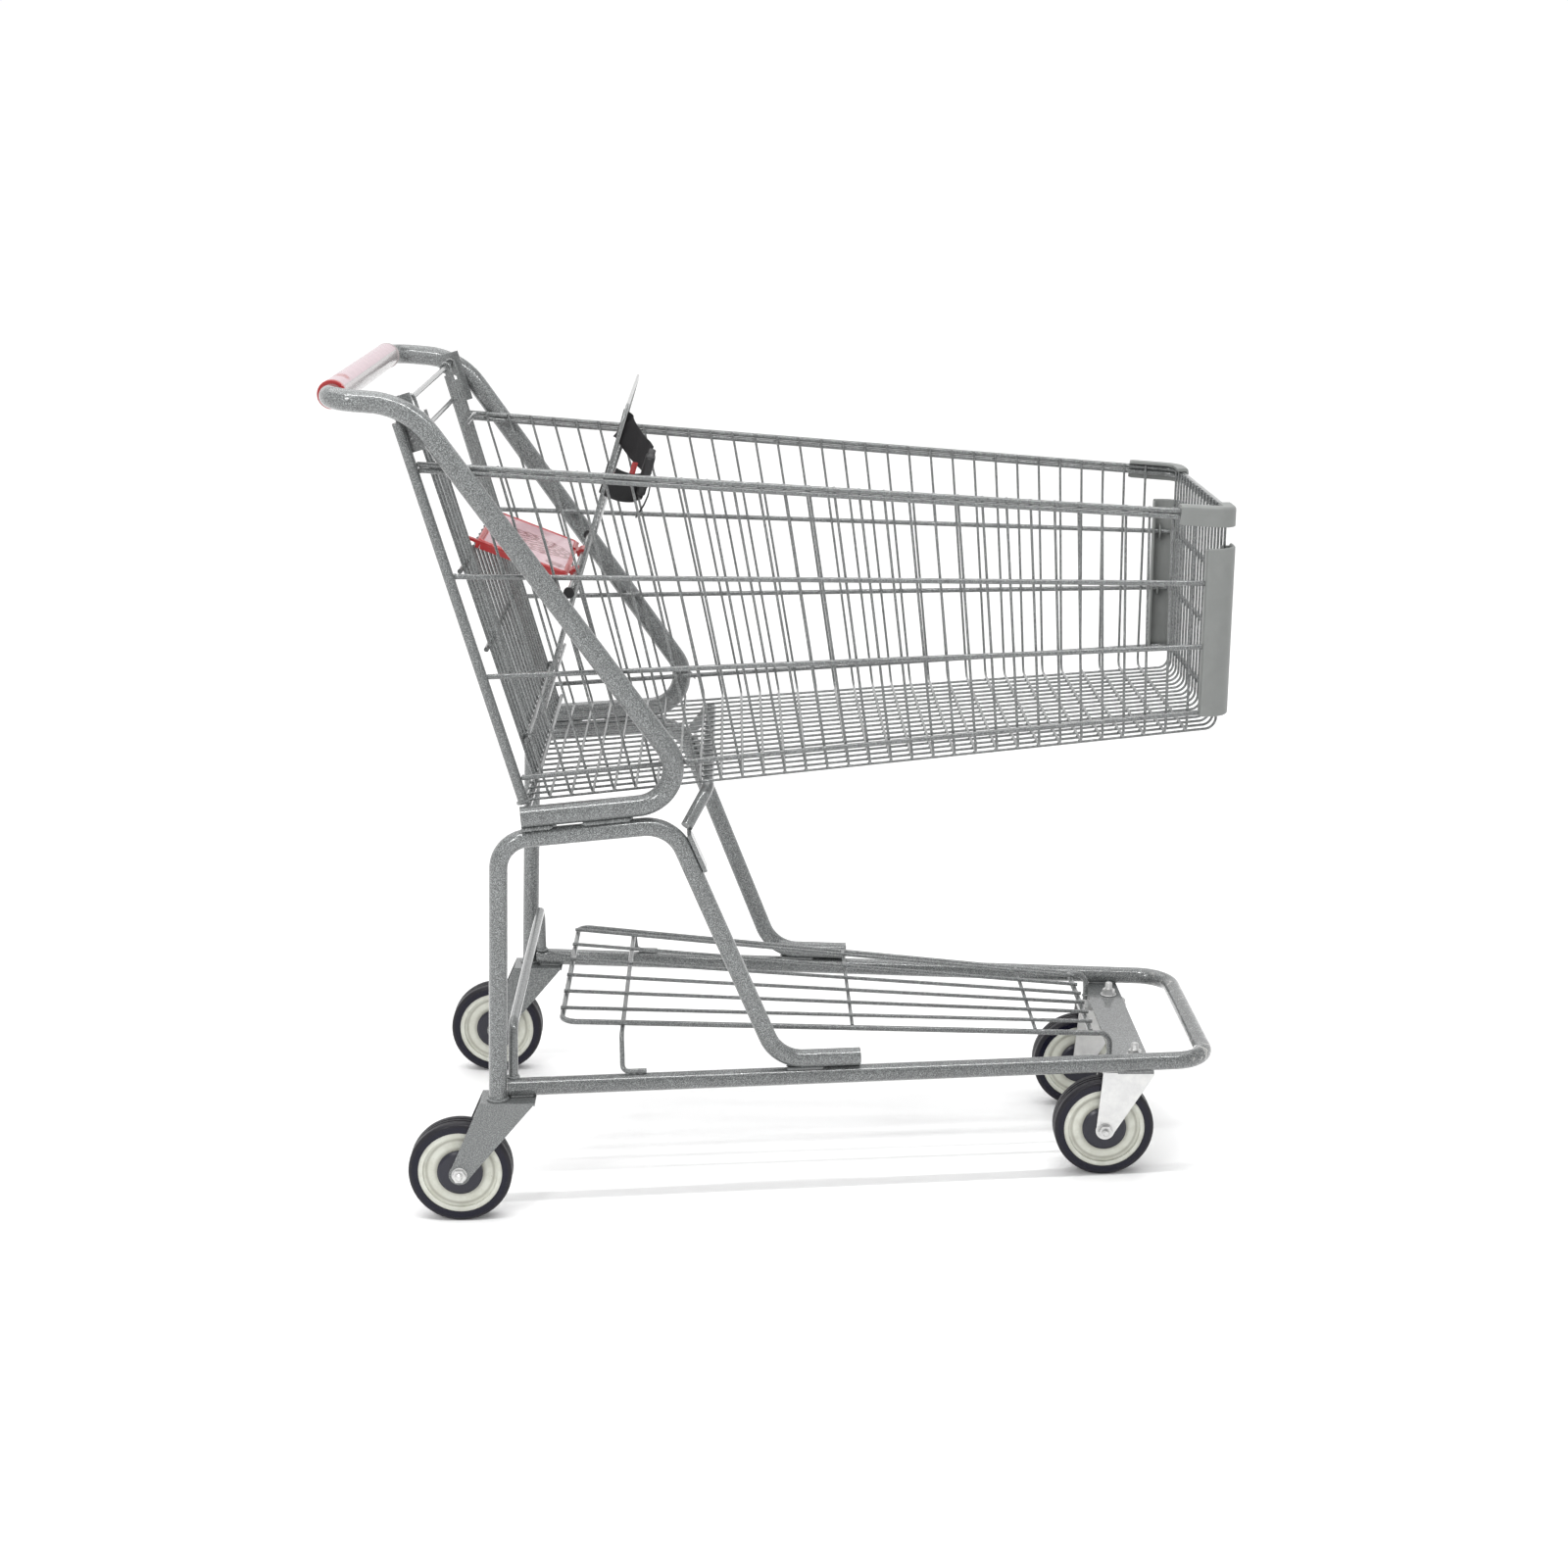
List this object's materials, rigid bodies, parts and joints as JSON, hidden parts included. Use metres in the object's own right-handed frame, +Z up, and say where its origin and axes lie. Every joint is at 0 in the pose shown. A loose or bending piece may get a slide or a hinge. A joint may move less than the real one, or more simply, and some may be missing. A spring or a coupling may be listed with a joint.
{
  "type": "shopping cart",
  "caption": "Wire shopping cart on a bent-tube frame, with fixed rear wheels, front casters, a swing-up rear gate, a folding child seat and a lower rack.",
  "frame": {"origin": "middle of the footprint, on the floor under the wheels", "axes": "+X forward, away from the handle; +Y to the cart's left; +Z up"},
  "size_m": [1.0822, 0.582, 1.0234],
  "materials": {
    "frame_paint": "hammertone gloss",
    "wire_paint": "hammertone gloss",
    "zinc": "bright zinc",
    "tyre": "worn satin",
    "wheel_core": "satin",
    "hub_cap": "satin",
    "guard_plastic": "satin",
    "grip_sleeve": "gloss",
    "pale_label": "gloss",
    "red_plastic": "gloss",
    "black_plastic": "satin",
    "webbing": "woven"
  },
  "bodies": {
    "cart": {"handle_frame": "frame_paint", "handle_grip": "grip_sleeve", "grip_label": "pale_label", "grip_end_ring": "red_plastic", "side_frame_right": "frame_paint", "side_frame_left": "frame_paint", "frame_welds": "frame_paint", "base_frame": "frame_paint", "rear_brace": "frame_paint", "front_brace": "frame_paint", "front_brace_plates": "frame_paint", "caster_plate": "frame_paint", "rear_forks": "frame_paint", "rear_axle_bolts": "zinc", "caster_stems": "zinc", "rack_frame": "wire_paint", "rack_wires": "wire_paint", "rack_support": "wire_paint", "uprights": "wire_paint", "rear_floor_bar": "wire_paint", "hinge_bars": "wire_paint", "hinge_brackets": "wire_paint", "side_wires_right": "wire_paint", "side_wires_left": "wire_paint", "floor_cross_wires": "wire_paint", "floor_long_wires": "wire_paint", "front_wires": "wire_paint", "rails_right": "wire_paint", "rails_left": "wire_paint", "rails_front": "wire_paint", "rim_caps": "guard_plastic", "corner_guards": "guard_plastic"},
    "rear_wheel_right": {"wheel_rear_right": "tyre", "core_rear_right": "wheel_core", "hubcaps_rear_right": "hub_cap"},
    "rear_wheel_left": {"wheel_rear_left": "tyre", "core_rear_left": "wheel_core", "hubcaps_rear_left": "hub_cap"},
    "caster_right": {"yoke_right": "zinc", "caster_axle_right": "zinc"},
    "caster_left": {"yoke_left": "zinc", "caster_axle_left": "zinc"},
    "front_wheel_right": {"wheel_front_right": "tyre", "core_front_right": "wheel_core", "hubcaps_front_right": "hub_cap"},
    "front_wheel_left": {"wheel_front_left": "tyre", "core_front_left": "wheel_core", "hubcaps_front_left": "hub_cap"},
    "gate": {"gate_wires": "wire_paint", "gate_rods": "wire_paint"},
    "seat_back": {"seat_back_wires": "wire_paint", "seat_back_rods": "wire_paint", "seat_pivot_caps": "black_plastic", "belt_strap": "webbing", "belt_buckle": "black_plastic"},
    "seat_board": {"seat_board": "red_plastic", "seat_label": "pale_label"}
  },
  "joints": [
    {"name": "rear_wheel_right_spin", "type": "hinge", "parent": "cart", "child": "rear_wheel_right", "pos_m": [-0.40187, -0.25, 0.0635], "axis": [0, 1, 0], "continuous": true},
    {"name": "caster_right_swivel", "type": "hinge", "parent": "cart", "child": "caster_right", "pos_m": [0.44412, -0.115, 0.0635], "axis": [0, 0, 1], "continuous": true},
    {"name": "front_wheel_right_spin", "type": "hinge", "parent": "caster_right", "child": "front_wheel_right", "pos_m": [0.40713, -0.115, 0.0635], "axis": [0, 1, 0], "continuous": true},
    {"name": "rear_wheel_left_spin", "type": "hinge", "parent": "cart", "child": "rear_wheel_left", "pos_m": [-0.40187, 0.25, 0.0635], "axis": [0, 1, 0], "continuous": true},
    {"name": "caster_left_swivel", "type": "hinge", "parent": "cart", "child": "caster_left", "pos_m": [0.44412, 0.115, 0.0635], "axis": [0, 0, 1], "continuous": true},
    {"name": "front_wheel_left_spin", "type": "hinge", "parent": "caster_left", "child": "front_wheel_left", "pos_m": [0.40713, 0.115, 0.0635], "axis": [0, 1, 0], "continuous": true},
    {"name": "gate_swing", "type": "hinge", "parent": "cart", "child": "gate", "pos_m": [-0.44217, 0, 0.99576], "axis": [0, -1, 0], "range_deg": [0, 75]},
    {"name": "seat_back_fold", "type": "hinge", "parent": "gate", "child": "seat_back", "pos_m": [-0.31328, 0, 0.59583], "axis": [0, -1, 0], "range_deg": [0, 30]},
    {"name": "seat_board_fold", "type": "hinge", "parent": "seat_back", "child": "seat_board", "pos_m": [-0.26033, 0, 0.77309], "axis": [0, -1, 0], "range_deg": [-74, 0]}
  ],
  "couplings": [
    {"joint": "seat_board_fold", "follows": "seat_back_fold", "ratio": -2.4667}
  ]
}
